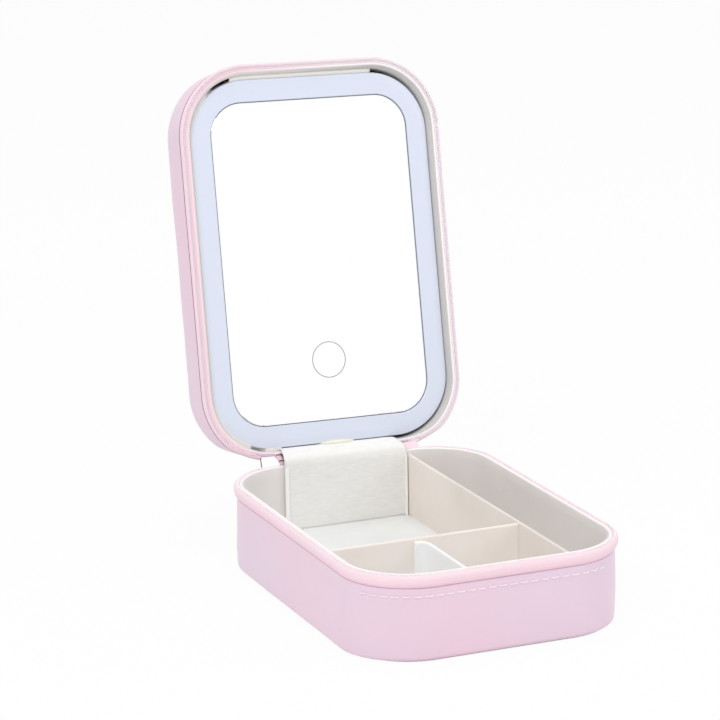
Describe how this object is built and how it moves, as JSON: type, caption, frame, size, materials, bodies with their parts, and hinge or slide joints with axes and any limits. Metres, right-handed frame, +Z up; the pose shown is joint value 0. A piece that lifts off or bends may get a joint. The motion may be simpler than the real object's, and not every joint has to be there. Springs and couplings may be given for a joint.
{
  "type": "vanity box with mirror",
  "caption": "Soft-sided zip-around travel vanity case with padded compartments in the base and a lit mirror in the hinged lid",
  "frame": {"origin": "centre of the base's underside, on the surface it stands on", "axes": "+Z up out of the base, +Y from the front wall to the hinge, +X to the right along the hinge"},
  "size_m": [0.1571, 0.2994, 0.2618],
  "materials": {
    "outer_skin": "pearly grained leatherette",
    "greyboard": "raw pressed greyboard",
    "lining": "matt leatherette, fine grain",
    "floor_fabric": "padded, matt",
    "edge_binding": "matt turned edge",
    "zipper_tape": "woven herringbone",
    "zipper_teeth": "moulded nylon",
    "slider_metal": "rose plated zinc",
    "foam": "fine foam",
    "housing_plastic": "moulded, satin",
    "frosted_frame": "frosted milky acrylic",
    "mirror_silver": "silvered",
    "print_grey": "printed line",
    "lamp_strip": "flexible strip",
    "circuit": "lacquered board",
    "battery_pouch": "foil pouch",
    "copper_pad": "bare copper",
    "socket_metal": "plated",
    "ribbon": "woven ribbon",
    "magnet": "nickel plated"
  },
  "bodies": {
    "base": {"base_bottom_cover": "outer_skin", "base_bottom_filler": "greyboard", "base_cover": "outer_skin", "base_bottom_board": "greyboard", "base_wall_board": "greyboard", "base_lining": "lining", "base_floor_pad": "floor_fabric", "base_rim_binding": "edge_binding", "base_zipper_tape": "zipper_tape", "base_zipper_teeth": "zipper_teeth", "zipper_end_stop": "zipper_teeth", "long_divider": "lining", "cross_divider": "lining", "front_divider": "lining", "hinge_strip_base": "outer_skin", "hinge_flap_wall": "lining", "hinge_flap_span": "lining", "zipper_slider": "slider_metal"},
    "lid": {"hinge_strip_lid": "outer_skin", "hinge_flap_lid": "lining", "lid_cover": "outer_skin", "lid_top_cover": "outer_skin", "lid_top_foam": "foam", "lid_top_board": "greyboard", "lid_wall_board": "greyboard", "lid_lining": "lining", "lid_top_lining": "lining", "lid_rim_binding": "edge_binding", "lid_zipper_tape": "zipper_tape", "lid_zipper_teeth": "zipper_teeth", "mirror_rests": "foam", "mirror_housing": "housing_plastic", "light_frame": "frosted_frame", "mirror_glass": "mirror_silver", "touch_ring": "print_grey", "mirror_carrier": "housing_plastic", "led_strip": "lamp_strip", "control_board": "circuit", "battery": "battery_pouch", "touch_sensor": "copper_pad", "charging_socket": "socket_metal", "housing_screws": "socket_metal", "mirror_hinge_strip": "ribbon", "pull_tab": "ribbon", "panel_magnets": "magnet"},
    "puller": {"zipper_puller": "slider_metal"}
  },
  "joints": [
    {"name": "lid_hinge", "type": "hinge", "parent": "base", "child": "lid", "pos_m": [0, 0.1113, 0.0459], "axis": [0.9997, 0, -0.0227], "range_deg": [0, 103], "deforming": ["hinge_flap_span"]},
    {"name": "puller_swing", "type": "hinge", "parent": "base", "child": "puller", "pos_m": [0.04294, 0.11312, 0.04264], "axis": [0.9997, 0, -0.0227], "range_deg": [0, 65]}
  ]
}
